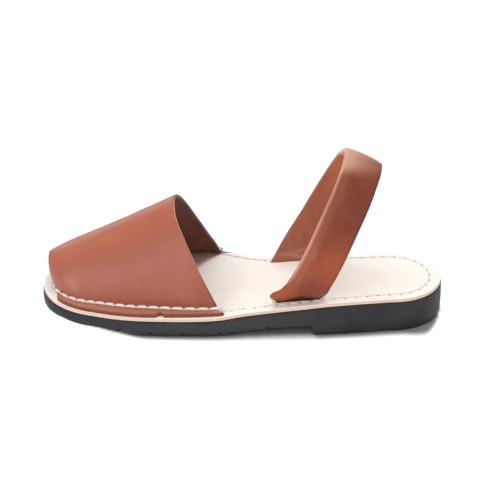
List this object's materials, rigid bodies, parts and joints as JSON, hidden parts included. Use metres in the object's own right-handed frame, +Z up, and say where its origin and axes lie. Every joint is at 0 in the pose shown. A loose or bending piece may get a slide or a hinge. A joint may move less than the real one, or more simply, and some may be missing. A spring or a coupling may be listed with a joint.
{
  "type": "avarca sandal",
  "caption": "Open-toed slingback avarca sandal: turned-out leather vamp and folded heel strap on a stitched leather insole and a moulded rubber sole.",
  "frame": {"origin": "middle of the sandal's overall box, on the floor under the sole", "axes": "+X from the toe towards the heel, +Y towards the inner side of a left foot, +Z up from the floor"},
  "size_m": [0.2576, 0.0966, 0.1129],
  "materials": {
    "rubber": "satin moulded rubber, near black",
    "insole_leather": "pale natural leather, matt",
    "upper_leather": "smooth cognac leather, satin",
    "strap_leather": "smooth cognac leather, satin, a shade darker"
  },
  "bodies": {
    "root": {"outsole": "rubber", "insole": "insole_leather", "vamp": "upper_leather", "heel_strap": "strap_leather"}
  },
  "joints": []
}
